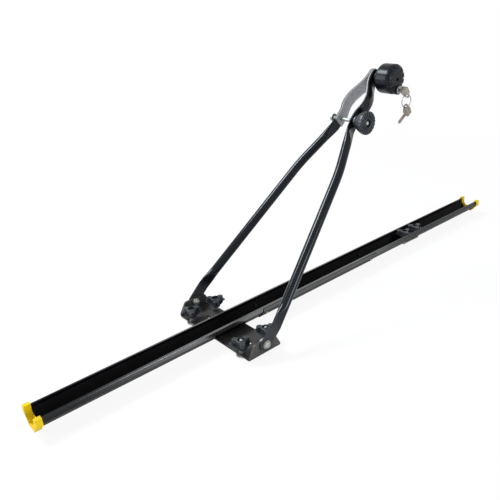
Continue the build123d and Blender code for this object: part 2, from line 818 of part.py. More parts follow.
def lock_barrel():
    # Turning core of the lock, with the slot that the key's blade sits in.
    foot = lock_pocket() + lock_clearance
    core = Pos(0, 0, foot) * extrude(Circle(lock_barrel_radius), amount=barrel_face() - foot)
    clearance = 2 * key_slot_clearance
    slot = Rectangle(key_sheet + clearance, key_blade_width + clearance)
    depth = key_blade_inside + key_slot_clearance
    cut = Pos(0, 0, barrel_face() - depth) * extrude(slot, amount=depth + overcut)
    return lock_axis() * (core - cut)


def key_outline():
    # Blade along Y with the lock's face at 0, and the bow above it, leaning to negative X.
    length = key_blade_inside + key_blade_outside
    blade = Pos(0, key_blade_outside - length / 2) * Rectangle(key_blade_width, length)
    blade = chamfer(blade.vertices().group_by(Axis.Y)[0], key_tip_chamfer)
    for notch in range(1, key_notch_count + 1):
        blade -= Pos(key_blade_width / 2, -key_notch_pitch * notch) * Circle(key_notch_radius)
    corners = [(key_bow_back, key_blade_outside), (key_bow_back, key_hole_height),
               (key_bow_back - key_bow_slant - key_hole_radius, key_bow_length),
               (-key_bow_front, key_bow_length), (-key_bow_front, key_bow_waist),
               (-key_bow_foot, key_blade_outside)]
    bow = make_face(Polyline(*corners, close=True))
    bow = fillet(bow.vertices(), key_bow_corner)
    return blade + bow - Pos(-key_hole_side, key_hole_height) * Circle(key_hole_radius)


def key():
    # Flat across local X, with the blade pointing down local Z.
    return Plane.YZ.location * extrude(key_outline(), amount=key_sheet / 2, both=True)


def lock_key():
    return lock_axis() * Pos(0, 0, barrel_face() + key_slot_clearance) * key()


def ring_drop():
    # From the middle of a key's hole to the middle of the ring that hangs in it.
    return key_hole_radius - ring_wire_radius - ring_gap - ring_radius


def key_ring_centre():
    # The ring hangs with its wire just over the lower edge of the inserted key's hole.
    hole = Pos(0, -key_hole_side, barrel_face() + key_slot_clearance + key_hole_height)
    return (lock_place() * lock_axis() * hole).position + Vector(0, 0, ring_drop())


def key_ring():
    upright = Rot(90, 0, 0) * Torus(ring_radius, ring_wire_radius)
    return Pos(*key_ring_centre()) * Rot(0, 0, -ring_turn) * upright


def spare_key():
    # Turned about and hung from the ring by its hole, with its weight straight below.
    middle = key_outline().center(CenterOf.MASS)
    swing = atan2(-key_hole_side - middle.X, key_hole_height - middle.Y)
    by_hole = Pos(0, key_hole_side, -key_hole_height) * key()
    hung = Rot(-degrees(swing), 0, 0) * Rot(0, 0, 180) * by_hole
    hole = key_ring_centre() + Vector(0, 0, ring_drop())
    return Pos(*hole) * hung


def build_rail():
    rivet_holes = [(x, rivet_radius) for x in rivet_places()]
    bolt_holes = [(x, clamp_bolt_radius + bolt_clearance) for x, y in channel_bolt_places()]
    add("rear_rail", screw_holes(rail_half(-rail_tail, rail_middle, rivet_holes)))
    add("front_rail", screw_holes(rail_half(rail_middle, front_end, bolt_holes)))
    add("rail_joiner", screw_holes(joiner()))
    add("joiner_screws", *[joiner_screw(place) for place in joiner_screws()])
    add("joiner_nuts", *[joiner_nut(place) for place in joiner_screws()])
    add("rear_end_cap", Pos(-rail_tail - cap_length + cap_grip, 0, 0) * end_cap())
    add("front_end_cap", Pos(front_end + cap_length - cap_grip, 0, 0) * mirror(end_cap(), Plane.YZ))
    add("base_plate", base_plate())
    add("rail_rivets", *[Pos(x, 0, 0) * rivet() for x in rivet_places()])


def build_clamp(name, x, y, spacing, top, rise, knob_seat):
    # The clamp's middle, its bolt spacing, the strap's top, the bolt tips and the knobs' seat.
    places = [(x + end * spacing / 2, y) for end in (-1, 1)]
    bolts, washers = clamp_bolts(places, top, rise)
    add(f"{name}_strap", Pos(x, y, 0) * strap(spacing, top))
    add(f"{name}_bolts", *bolts)
    add(f"{name}_washers", *washers)
    for end, place in zip(("rear", "front"), places):
        knob, insert = clamp_knob(*place, knob_seat)
        add(f"{name}_{end}_knob", knob)
        add(f"{name}_{end}_insert", insert)


def build_clamps():
    for name, side, rise in (("near_clamp", -1, near_bolt_rise), ("far_clamp", 1, far_bolt_rise)):
        build_clamp(name, 0, side * clamp_bolt_y, clamp_bolt_spacing, strap_top, rise, plate_sheet)
    build_clamp("channel_clamp", channel_clamp_x, 0, channel_bolt_spacing, channel_strap_top,
                channel_bolt_rise, channel_seat)


def build_arms():
    both_arms("arm", arm())
    both_arms("lining", lining())
    both_flanges("pivot_bolt", pivot_bolt())
    both_flanges("pivot_washer", pivot_washer())
    both_flanges("pivot_nut", pivot_nut())
    add("jaw_clamp_bolt", jaw_clamp_bolt())
    add("jaw_washers", *jaw_washers())
    knob_place = across(clamp_s, -round_knob_seat()) * Rot(180, 0, 0)
    add("jaw_knob", arm_plane.location * knob_place * round_knob())
    add("tip_bolt", tip_bolt())
    add("tip_collar", tip_collar())


def build_lock():
    place = lock_place()
    add("lock_knob_back", place * lock_knob_back())
    add("lock_knob_front", place * lock_knob_front())
    add("lock_bezel", place * lock_bezel())
    add("lock_barrel", place * lock_barrel())
    add("lock_key", place * lock_key())
    add("key_ring", key_ring())
    add("spare_key", spare_key())


build_rail()
build_clamps()
build_arms()
build_lock()

os.makedirs("parts", exist_ok=True)
for name, shape in parts.items():
    export_step(shape, f"parts/{name}.step")
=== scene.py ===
import json
from math import atan2, cos, pi, radians, sin, tan

import bmesh
import bpy
import numpy as np
from mathutils import Matrix, Vector


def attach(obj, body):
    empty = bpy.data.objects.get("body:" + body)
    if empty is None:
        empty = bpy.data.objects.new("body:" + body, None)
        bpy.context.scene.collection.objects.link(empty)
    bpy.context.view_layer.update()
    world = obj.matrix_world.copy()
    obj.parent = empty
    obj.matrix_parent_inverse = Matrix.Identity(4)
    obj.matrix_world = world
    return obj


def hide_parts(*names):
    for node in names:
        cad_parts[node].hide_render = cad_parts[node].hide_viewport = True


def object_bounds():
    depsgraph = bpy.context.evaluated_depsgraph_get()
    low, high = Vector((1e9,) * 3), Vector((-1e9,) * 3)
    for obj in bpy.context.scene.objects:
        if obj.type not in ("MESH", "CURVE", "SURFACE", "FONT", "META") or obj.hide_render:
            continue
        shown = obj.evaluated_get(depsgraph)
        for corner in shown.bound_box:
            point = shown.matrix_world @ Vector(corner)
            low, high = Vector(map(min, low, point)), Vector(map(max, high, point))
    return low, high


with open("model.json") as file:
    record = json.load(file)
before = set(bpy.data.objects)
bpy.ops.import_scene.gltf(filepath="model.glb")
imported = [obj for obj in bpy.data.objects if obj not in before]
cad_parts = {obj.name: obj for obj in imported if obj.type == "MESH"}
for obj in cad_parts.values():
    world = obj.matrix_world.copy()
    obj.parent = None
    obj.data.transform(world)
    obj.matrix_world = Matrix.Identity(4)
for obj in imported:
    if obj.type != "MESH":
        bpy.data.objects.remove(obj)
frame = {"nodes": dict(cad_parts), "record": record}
cadLow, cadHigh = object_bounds()
nodes = frame["nodes"]
print("frame loaded,", len(nodes), "nodes")

# Stage: camera, floor, world and lamps (metres).

stage = {
    "cameraPlace": (-0.57408, -0.76236, 0.62295),
    "cameraRight": (0.75212, -0.65774, -0.04118),
    "cameraDown": (-0.30796, -0.29553, -0.90434),
    "lens": 40.398,
    "sensor": 36.0,
    "clipEnd": 200,
    "floorSize": 80.0,
    "floorDrop": 0.0002,
    "floorWhite": 0.90,
    "plainSeen": 0.90,  # share of plain white where the camera sees the floor
    "plainMirrored": 0.12,  # the same in reflections, where the object's shadow shows more
    "fadeStart": 0.9,  # the lit share fades out past this distance, metres
    "fadeEnd": 2.2,
    "worldFill": 0.45,
    "aim": (0.25, 0.0, 0.25),
    "lampTint": (0.93, 0.965, 1.0),
}
lamps = {
    # direction from the aim, distance, width, height, power in watts
    "topSoftbox": ((-0.40, 0.51, 0.76), 2.4, 0.9, 0.7, 60.0),
    "backSoftbox": ((-0.77, 0.59, 0.24), 2.6, 0.8, 1.2, 22.0),
    "rightSoftbox": ((0.17, -0.97, 0.16), 2.6, 0.7, 1.3, 34.0),
}


class Socket:
    # One output in a node tree. Arithmetic on it adds Math nodes.
    def __init__(self, graph, link):
        self.graph = graph
        self.link = link

    def math(self, operation, *values):
        return self.graph.node("Math", {"operation": operation}, dict(enumerate(values)))

    def __add__(self, other):
        return self.math("ADD", self, other)

    def __sub__(self, other):
        return self.math("SUBTRACT", self, other)

    def __rsub__(self, other):
        return self.math("SUBTRACT", other, self)

    def __mul__(self, other):
        return self.math("MULTIPLY", self, other)

    def __abs__(self):
        return self.math("ABSOLUTE", self)

    __radd__ = __add__
    __rmul__ = __mul__


class Graph:
    # A node tree that is filled by one method, node().
    def __init__(self, owner):
        owner.use_nodes = True
        self.tree = owner.node_tree
        self.tree.nodes.clear()

    def node(self, kind, settings=None, inputs=None, output=0):
        made = self.tree.nodes.new("ShaderNode" + kind)
        for key, value in (settings or {}).items():
            setattr(made, key, value)
        for key, value in (inputs or {}).items():
            if isinstance(value, Socket):
                self.tree.links.new(value.link, made.inputs[key])
            else:
                made.inputs[key].default_value = value
        return Socket(self, made.outputs[output]) if made.outputs else made

    def mix(self, share, first, second):
        # Colours go in sockets 6 and 7 of the Mix node and come out of socket 2.
        return self.node("Mix", {"data_type": "RGBA"}, {0: share, 6: first, 7: second}, 2)

    def noise(self, place, scale, detail=2.0, roughness=0.5, stretch=(1, 1, 1)):
        moved = self.node("Mapping", None, {"Vector": place, "Scale": stretch})
        return self.node("TexNoise", None, {"Vector": moved, "Scale": scale, "Detail": detail,
                                            "Roughness": roughness})

    def parts(self, place):
        # X, Y and Z of a place.
        split = self.node("SeparateXYZ", None, {0: place}).link.node
        return [Socket(self, output) for output in split.outputs]

    def window(self, value, low, high):
        # 0 below low, 1 above high, smooth between.
        return self.node("MapRange", {"interpolation_type": "SMOOTHSTEP"},
                         {"Value": value, "From Min": low, "From Max": high})


def color(red, green, blue):
    return (red, green, blue, 1.0)


def seenRays(graph, camera, mirrored):
    # The given shares for camera rays and for mirror and glass rays, and 0 for the rest.
    rays = graph.node("LightPath")
    names = ("Is Camera Ray", "Is Glossy Ray", "Is Transmission Ray")
    seen = [Socket(graph, rays.link.node.outputs[name]) for name in names]
    return seen[0] * camera + seen[0].math("MAXIMUM", seen[1], seen[2]) * mirrored


def buildStage():
    camera = bpy.data.objects.new("camera", bpy.data.cameras.new("camera"))
    bpy.context.scene.collection.objects.link(camera)
    right = Vector(stage["cameraRight"]).normalized()
    up = -Vector(stage["cameraDown"])
    up = (up - right * up.dot(right)).normalized()
    turn = Matrix((right, up, right.cross(up))).transposed().to_4x4()
    camera.matrix_world = Matrix.Translation(stage["cameraPlace"]) @ turn
    camera.data.lens = stage["lens"]
    camera.data.sensor_width = stage["sensor"]
    camera.data.clip_end = stage["clipEnd"]
    bpy.context.scene.camera = camera

    half = stage["floorSize"] / 2
    height = cadLow[2] - stage["floorDrop"]
    mesh = bpy.data.meshes.new("floor")
    corners = [(-half, -half, height), (half, -half, height), (half, half, height), (-half, half, height)]
    mesh.from_pydata(corners, [], [(0, 1, 2, 3)])
    floor = bpy.data.objects.new("floor", mesh)
    bpy.context.scene.collection.objects.link(floor)
    material = bpy.data.materials.new("floorPaint")
    graph = Graph(material)
    white = stage["floorWhite"]
    lit = graph.node("BsdfDiffuse", None, {"Color": color(white, white, white)})
    plain = graph.node("Emission", None, {"Color": color(1, 1, 1), "Strength": 1.0})
    place = graph.node("TexCoord", output="Object")
    away = graph.node("VectorMath", {"operation": "LENGTH"}, {0: place}, 1)
    faded = graph.window(away, stage["fadeStart"], stage["fadeEnd"])
    seen = seenRays(graph, 1.0, 1.0)
    share = seenRays(graph, stage["plainSeen"], stage["plainMirrored"])
    both = graph.node("MixShader", None, {0: share + (seen - share) * faded, 1: lit, 2: plain})
    graph.node("OutputMaterial", None, {"Surface": both})
    mesh.materials.append(material)

    world = bpy.data.worlds.new("studio")
    bpy.context.scene.world = world
    graph = Graph(world)
    fill = stage["worldFill"]
    strength = seenRays(graph, 1 - fill, 1 - fill) + fill
    back = graph.node("Background", None, {"Color": color(1, 1, 1), "Strength": strength})
    graph.node("OutputWorld", None, {"Surface": back})

    aim = Vector(stage["aim"])
    for name, (direction, distance, width, tall, power) in lamps.items():
        light = bpy.data.lights.new(name, "AREA")
        light.shape = "RECTANGLE"
        light.size = width
        light.size_y = tall
        light.energy = power
        light.color = stage["lampTint"]
        lamp = bpy.data.objects.new(name, light)
        bpy.context.scene.collection.objects.link(lamp)
        towards = Vector(direction).normalized()
        turned = towards.to_track_quat("Z", "Y").to_matrix().to_4x4()
        lamp.matrix_world = Matrix.Translation(aim + towards * distance) @ turned
        lamp.visible_camera = False
    bpy.context.scene.view_settings.view_transform = "Standard"
    print("stage ready")


buildStage()

# Finishes: one look for each material slot of the record.

lean = radians(46.0)  # lean of the arms
pivotHeight = 23.0  # the arms' pivots above the plate's underside, millimetres
looks = {
    "plate_paint": {
        "base": (0.040, 0.038, 0.037), "shade": (0.026, 0.025, 0.026), "broad": 30.0,
        "roughness": 0.50, "roughnessSpread": 0.16, "specular": 0.45,
        "grain": 1400.0, "bumpDepth": 0.00008, "speck": (0.11, 0.11, 0.112), "speckShare": 0.62,
        "scuff": (6, 90, 6), "scuffShare": 0.66, "worn": 0.012,
    },
    "rail_paint": {
        "base": (0.0030, 0.0031, 0.0040), "shade": (0.0046, 0.0048, 0.0060), "broad": 16.0,
        "roughness": 0.22, "roughnessSpread": 0.06, "specular": 0.03, "coat": 2.2,
        "grain": 900.0, "bumpDepth": 0.000004, "scuff": (3, 160, 160), "scuffShare": 0.70, "worn": 0.004,
    },
    "joiner_paint": {
        "base": (0.0080, 0.0083, 0.0095), "shade": (0.0120, 0.0124, 0.0140), "broad": 22.0,
        "roughness": 0.30, "roughnessSpread": 0.10, "specular": 0.05, "coat": 1.8,
        "grain": 1000.0, "bumpDepth": 0.000008, "scuff": (4, 140, 140), "scuffShare": 0.68, "worn": 0.006,
    },
    "arm_paint": {
        "base": (0.0040, 0.0042, 0.0052), "shade": (0.0065, 0.0067, 0.0078), "broad": 18.0,
        "roughness": 0.15, "roughnessSpread": 0.05, "specular": 0.22, "sheen": (0.76, 0.87, 1.0),
        "grain": 1100.0, "bumpDepth": 0.000004, "scuff": (40, 40, 120), "scuffShare": 0.72, "worn": 0.004,
        "satin": (0.030, 0.030, 0.032), "satinRoughness": 0.34, "satinFrom": 0.022, "satinTo": 0.052,
    },
    "cap_plastic": {
        "base": (0.74, 0.52, 0.002), "shade": (0.64, 0.44, 0.002), "broad": 60.0,
        "roughness": 0.48, "roughnessSpread": 0.10, "specular": 0.15,
        "grain": 700.0, "bumpDepth": 0.000012, "scuff": (60, 60, 60), "scuffShare": 0.70, "worn": 0.01,
    },
    "lining_rubber": {
        "base": (0.37, 0.375, 0.39), "shade": (0.31, 0.315, 0.33), "broad": 26.0,
        "roughness": 0.50, "roughnessSpread": 0.12, "specular": 0.35,
        "grain": 1300.0, "bumpDepth": 0.00002, "scuff": (20, 120, 20), "scuffShare": 0.64, "worn": 0.02,
    },
    "knob_plastic": {
        "base": (0.015, 0.017, 0.021), "shade": (0.022, 0.024, 0.029), "broad": 70.0,
        "roughness": 0.34, "roughnessSpread": 0.10, "specular": 0.40, "sheen": (0.84, 0.92, 1.0),
        "grain": 1500.0, "bumpDepth": 0.000012, "scuff": (120, 120, 40), "scuffShare": 0.68, "worn": 0.010,
    },
    "lock_plastic": {
        "base": (0.0040, 0.0045, 0.0060), "shade": (0.0065, 0.0070, 0.0085), "broad": 50.0,
        "roughness": 0.26, "roughnessSpread": 0.06, "specular": 0.18, "sheen": (0.80, 0.90, 1.0),
        "grain": 1200.0, "bumpDepth": 0.000003, "scuff": (80, 80, 80), "scuffShare": 0.72, "worn": 0.006,
    },
    "zinc_steel": {
        "base": (0.38, 0.40, 0.37), "shade": (0.27, 0.29, 0.27), "broad": 240.0, "metallic": 1.0,
        "roughness": 0.58, "roughnessSpread": 0.16, "specular": 0.5,
        "grain": 1600.0, "bumpDepth": 0.00003, "scuff": (90, 90, 90), "scuffShare": 0.60, "worn": 0.02,
    },
    "yellow_zinc": {
        "base": (0.62, 0.47, 0.16), "shade": (0.50, 0.40, 0.20), "broad": 260.0, "metallic": 1.0,
        # The near-black colour here is painted shade for the screw ends that sit inside the rail's channel.
        "tip": (0.010, 0.010, 0.012), "tipSide": (0.0190, 0.0215),
        "roughness": 0.34, "roughnessSpread": 0.14, "specular": 0.5,
        "grain": 1600.0, "bumpDepth": 0.00003, "scuff": (90, 90, 90), "scuffShare": 0.60, "worn": 0.02,
    },
    "strap_steel": {
        "base": (0.46, 0.46, 0.44), "shade": (0.34, 0.35, 0.34), "broad": 120.0, "metallic": 1.0,
        "roughness": 0.42, "roughnessSpread": 0.18, "specular": 0.5,
        "grain": 900.0, "bumpDepth": 0.00004, "scuff": (20, 200, 20), "scuffShare": 0.60, "worn": 0.02,
    },
    "lock_metal": {
        "base": (0.36, 0.355, 0.345), "shade": (0.27, 0.265, 0.26), "broad": 200.0, "metallic": 1.0,
        "roughness": 0.28, "roughnessSpread": 0.12, "specular": 0.5,
        "grain": 1500.0, "bumpDepth": 0.00002, "scuff": (150, 150, 150), "scuffShare": 0.64, "worn": 0.02,
    },
    "key_metal": {
        "base": (0.34, 0.305, 0.255), "shade": (0.27, 0.245, 0.205), "broad": 180.0, "metallic": 1.0,
        "roughness": 0.46, "roughnessSpread": 0.12, "specular": 0.5,
        "grain": 1200.0, "bumpDepth": 0.000008, "scuff": (500, 500, 60), "scuffShare": 0.58, "worn": 0.02,
    },
    "ring_wire": {
        "base": (0.24, 0.24, 0.27), "shade": (0.18, 0.18, 0.21), "broad": 300.0, "metallic": 1.0,
        "roughness": 0.22, "roughnessSpread": 0.10, "specular": 0.5,
        "grain": 1500.0, "bumpDepth": 0.00001, "scuff": (200, 200, 200), "scuffShare": 0.66, "worn": 0.02,
    },
}
gloss = {
    # windows from no gloss to full gloss, in metres along one axis
    "outside": (0.0236, 0.0241), "skirt": (0.0195, 0.0215), "hem": (0.0292, 0.0300),
    "rear": (-0.36, -0.06), "front": (0.34, 0.60), "rearShare": 0.12, "frontLoss": 0.72,
}
wear = {
    # windows of the noises, and how far each mark moves the tone and the roughness
    "toneWindow": (0.35, 0.65), "rubbedSpread": 0.12, "rubbedLighter": 1.3, "rubbedTone": 0.5,
    "rubbedRough": 0.10, "speckSpread": 0.08, "speckTone": 0.6, "satinGrain": 0.8, "satinEven": 0.5,
}


def buildFinish(name, look):
    # Slow tone change, fine grain in the bump, and rubbed marks that are lighter and duller.
    material = bpy.data.materials.new(name)
    graph = Graph(material)
    place = graph.node("TexCoord", output="Object")
    broad = graph.noise(place, look["broad"], 3.0)
    grain = graph.noise(place, look["grain"], 2.0)
    marks = graph.noise(place, 1.0, 5.0, 0.6, look["scuff"])
    rubbed = graph.window(marks, look["scuffShare"], look["scuffShare"] + wear["rubbedSpread"])
    tone = graph.mix(graph.window(broad, *wear["toneWindow"]), color(*look["base"]), color(*look["shade"]))
    lighter = [min(1.0, value * wear["rubbedLighter"] + look["worn"]) for value in look["base"]]
    tone = graph.mix(rubbed * wear["rubbedTone"], tone, color(*lighter))
    if "speck" in look:
        flecks = graph.window(grain, look["speckShare"], look["speckShare"] + wear["speckSpread"])
        tone = graph.mix(flecks * wear["speckTone"], tone, color(*look["speck"]))
    if "tip" in look:
        # Painted shade: the screw ends inside the rail's channel are darkened to near black where the
        # channel's shade falls. The mask is the distance from the rail's middle plane.
        outer = graph.window(abs(graph.parts(place)[1]), *look["tipSide"])
        tone = graph.mix(outer, color(*look["tip"]), tone)
    rough = (broad - 0.5) * look["roughnessSpread"] + rubbed * wear["rubbedRough"] + look["roughness"]
    if "satin" in look:
        # Pressed ears near the pivots: distance up the lean is x sin(lean) + (z - pivot) cos(lean).
        along, _, height = graph.parts(place)
        upLean = along * sin(lean) + (height - pivotHeight / 1000) * cos(lean)
        satin = 1 - graph.window(upLean, look["satinFrom"], look["satinTo"])
        tone = graph.mix(satin * (grain * wear["satinGrain"] + wear["satinEven"]), tone,
                         color(*look["satin"]))
        rough = rough + satin * look["satinRoughness"]
    bump = graph.node("Bump", None, {"Strength": 1.0, "Distance": look["bumpDepth"], "Height": grain})
    inputs = {
        "Base Color": tone, "Roughness": rough, "Normal": bump,
        "Metallic": look.get("metallic", 0.0), "Specular IOR Level": look["specular"],
        "Specular Tint": color(*look.get("sheen", (1, 1, 1))),
    }
    if "coat" in look:
        # Gloss on the skirts' outer faces and the hems, full near the plate and faint at both ends.
        along, sideways, height = graph.parts(place)
        outer = graph.window(abs(sideways), *gloss["outside"])
        upper = graph.window(height, *gloss["skirt"])
        hem = graph.window(height, *gloss["hem"])
        rear, front = graph.window(along, *gloss["rear"]), graph.window(along, *gloss["front"])
        polish = (1 - front * gloss["frontLoss"]) * (rear * (1 - gloss["rearShare"]) + gloss["rearShare"])
        inputs["Coat Weight"] = outer.math("MAXIMUM", outer * upper, hem) * polish
        inputs["Coat IOR"] = look["coat"]
        inputs["Coat Roughness"] = look["roughness"]
    shader = graph.node("BsdfPrincipled", None, inputs)
    graph.node("OutputMaterial", None, {"Surface": shader})
    return material


finishes = {name: buildFinish(name, look) for name, look in looks.items()}
slotOf = {part["node"]: part["material_slot"] for part in frame["record"]["subparts"]}
print("finishes ready,", len(finishes))

# Surfaces: grids of points carried into place (millimetres, made metres at the end).

armAxes = np.array([(sin(lean), 0, cos(lean)), (0, 1, 0), (-cos(lean), 0, sin(lean))])
armOrigin = np.array((0, 0, pivotHeight))
uprightAxes = np.identity(3)
outwardAxes = np.array([(1, 0, 0), (0, 0, 1), (0, -1, 0)])
nearAxis = 0.2  # radius at which a turned profile starts and ends, where a pole closes it


def armPoint(s, y, n=0.0):
    return armOrigin + np.array((s, y, n), float) @ armAxes


def smooth(share):
    # Eased step from 0 to 1.
    share = np.clip(share, 0, 1)
    return share * share * (3 - 2 * share)


def rounded(corners, radii, step, leastRows=6):
    # A bent line with an arc at each inner corner: the arc's tangent length is radius * tan(turn / 2).
    points = np.array(corners, float)
    legs = np.diff(points, axis=0)
    headings = np.unwrap(np.arctan2(legs[:, 1], legs[:, 0]))
    pieces = [points[:1]]
    for corner, radius, before, after in zip(points[1:-1], radii, headings[:-1], headings[1:]):
        cut = radius * abs(tan((after - before) / 2))
        start = corner - cut * np.array((cos(before), sin(before)))
        side = np.sign(after - before)
        centre = start + side * radius * np.array((-sin(before), cos(before)))
        count = max(leastRows, int(radius * abs(after - before) / step))
        angle = np.linspace(before, after, count)
        pieces.append(centre + side * radius * np.stack([np.sin(angle), -np.cos(angle)], axis=1))
    pieces.append(points[-1:])
    return np.concatenate(pieces)


def resample(line, step):
    # The line again at even steps, with its heading at each point.
    lengths = np.concatenate([[0], np.cumsum(np.linalg.norm(np.diff(line, axis=0), axis=1))])
    at = np.linspace(0, lengths[-1], max(2, int(lengths[-1] / step) + 1))
    x = np.interp(at, lengths, line[:, 0])
    y = np.interp(at, lengths, line[:, 1])
    return x, y, np.arctan2(np.gradient(y), np.gradient(x))


def gridFaces(rows, columns, closedRows=False):
    # Quads between neighbours of a grid whose columns run round and close.
    last = rows if closedRows else rows - 1
    row, column = np.meshgrid(np.arange(last), np.arange(columns), indexing="ij")
    nextRow, nextColumn = (row + 1) % rows, (column + 1) % columns
    quads = [row * columns + column, row * columns + nextColumn,
             nextRow * columns + nextColumn, nextRow * columns + column]
    return np.stack(quads, axis=-1).reshape(-1, 4)


def outward(points, faces):
    # Turns every face round where the volume comes out negative. Six times the volume is the sum
    # of a . (b x c) over the triangles.
    volume = 0.0
    for group in faces:
        a, b, c = points[group[:, 0]], points[group[:, 1]], points[group[:, 2]]
        volume += np.einsum("ij,ij->i", a, np.cross(b, c)).sum()
        if group.shape[1] == 4:
            d = points[group[:, 3]]
            volume += np.einsum("ij,ij->i", a, np.cross(c, d)).sum()
    return faces if volume > 0 else [group[:, ::-1] for group in faces]


def finishPiece(name, shells, body, slotName, replaced, crease=32.0):
    # Joins shells, each a pair of points and face groups, into one object that rides on its body.
    allPoints, allFaces, start = [], [], 0
    for points, groups in shells:
        for group in outward(points - points.mean(axis=0), groups):
            allFaces += (group + start).tolist()
        allPoints.append(points)
        start += len(points)
    mesh = bpy.data.meshes.new(name)
    mesh.from_pydata((np.concatenate(allPoints) / 1000).tolist(), [], allFaces)
    mesh.polygons.foreach_set("use_smooth", np.ones(len(mesh.polygons), bool))
    mesh.set_sharp_from_angle(angle=radians(crease))
    mesh.update()
    mesh.materials.append(finishes[slotName])
    piece = bpy.data.objects.new(name, mesh)
    bpy.context.scene.collection.objects.link(piece)
    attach(piece, body)
    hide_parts(*replaced)


def closedTube(grid, closedRows=False):
    # A grid of rings with its columns closed, and a pole at each end unless the rows close too.
    rows, columns = grid.shape[:2]
    points = grid.reshape(-1, 3)
    faces = [gridFaces(rows, columns, closedRows)]
    if not closedRows:
        around = np.arange(columns)
        following = (around + 1) % columns
        foot, head = len(points), len(points) + 1
        points = np.concatenate([points, [grid[0].mean(axis=0)], [grid[-1].mean(axis=0)]])
        lastRing = (rows - 1) * columns
        faces.append(np.stack([following, around, np.full(columns, foot)], axis=1))
        faces.append(np.stack([lastRing + around, lastRing + following, np.full(columns, head)], axis=1))
    return points, faces


def ladder(outer, inner, start, end):
    # Bent sheet along X: outer and inner lines of its section in Y and Z, closed at both ends.
    section = np.concatenate([outer, inner[::-1]])
    count, half = len(section), len(outer)
    points = np.concatenate([np.column_stack([np.full(count, x), section]) for x in (start, end)])
    step = np.arange(half - 1)
    front = np.stack([step, step + 1, count - 2 - step, count - 1 - step], axis=1)
    return points, [gridFaces(2, count), front, count + front[:, ::-1]]


def placed(local, origin, axes):
    return np.asarray(origin, float) + local @ axes


def revolved(radius, height, angle, origin, axes):
    # Points at (radius cos(angle), radius sin(angle), height).
    local = np.stack([radius * np.cos(angle), radius * np.sin(angle), height], axis=-1)
    return placed(local, origin, axes)


def lathe(profile, origin, axes, columns, wave=None, ring=False):
    # Revolves (radius, height) points about local Z. wave(radius, height, angle) may move them.
    # A ring's profile is a closed outline that doesn't touch the axis.
    angle = np.linspace(0, 2 * pi, columns, endpoint=False)
    radius = np.repeat(profile[:, :1], columns, axis=1)
    height = np.repeat(profile[:, 1:], columns, axis=1)
    if wave:
        radius, height = wave(radius, height, angle[None, :])
    return closedTube(revolved(radius, height, angle, origin, axes), ring)


def denser(line, step):
    # Adds points on long legs so that a wave has rows to move.
    out = [line[:1]]
    for start, end in zip(line[:-1], line[1:]):
        count = max(1, int(np.linalg.norm(end - start) / step))
        out.append(start + (end - start) * (np.arange(1, count + 1) / count)[:, None])
    return np.concatenate(out)


# Wheel rail and its sleeve.

rail = {
    "tail": 400.0, "length": 1320.0, "halfFloor": 9.5, "halfWidth": 24.5, "height": 27.5,
    "skirt": 9.5, "hem": 4.5, "sheet": 1.2, "bend": 3.0, "hemBend": 1.6, "bottom": 3.0,
    "sleeve": 370.0, "sleeveSheet": 1.5, "sleeveGap": 0.1, "sleeveLip": 2.5, "arcStep": 0.35,
}


def railLine(grow, top, hem):
    # Half of the section from the floor's middle to the hem, grown outwards.
    foot = rail["height"] - rail["skirt"]
    slope = atan2(foot, rail["halfWidth"] - rail["halfFloor"])
    corners = [(0, -grow), (rail["halfFloor"] + grow * tan(slope / 2), -grow),
               (rail["halfWidth"] + grow, foot - grow * tan((pi / 2 - slope) / 2)),
               (rail["halfWidth"] + grow, top)]
    bends = [rail["bend"] + grow] * 2
    if hem:
        corners.append((rail["halfWidth"] + grow - hem, top))
        bends.append(rail["hemBend"])
    return rounded(corners, bends, rail["arcStep"])


def thicken(line, depth):
    # The line moved to its left by depth, square to its heading: at a corner it moves by
    # depth / cos(half the turn), along the mean of the two legs' normals.
    legs = np.diff(line, axis=0)
    legs /= np.linalg.norm(legs, axis=1)[:, None]
    before, after = np.vstack([legs[:1], legs]), np.vstack([legs, legs[-1:]])
    along = before + after
    along /= np.linalg.norm(along, axis=1)[:, None]
    spread = depth / np.clip((along * after).sum(axis=1), 0.5, 1)
    return line + spread[:, None] * np.column_stack([-along[:, 1], along[:, 0]])


def bothHalves(line):
    mirrored = line[::-1] * (-1, 1)
    return np.concatenate([mirrored[:-1], line])


def buildRail():
    line = railLine(0, rail["height"], rail["hem"])
    outer, inner = bothHalves(line), bothHalves(thicken(line, rail["sheet"]))
    lift = np.array((0, rail["bottom"]))
    middle = rail["length"] / 2 - rail["tail"]
    ends = {"rearRail": (-rail["tail"], middle, "rear_rail"),
            "frontRail": (middle, rail["length"] - rail["tail"], "front_rail")}
    for name, (start, end, node) in ends.items():
        finishPiece(name, [ladder(outer + lift, inner + lift, start, end)], "root", "rail_paint", [node])
    line = railLine(rail["sleeveGap"], rail["height"] - rail["sleeveLip"], 0)
    outer, inner = bothHalves(thicken(line, -rail["sleeveSheet"])), bothHalves(line)
    half = rail["sleeve"] / 2
    sleeve = ladder(outer + lift, inner + lift, middle - half, middle + half)
    finishPiece("railSleeve", [sleeve], "root", "joiner_paint", ["rail_joiner"])


buildRail()
print("rail ready")

# Arms and linings: a pressed tube carried along a bent line.

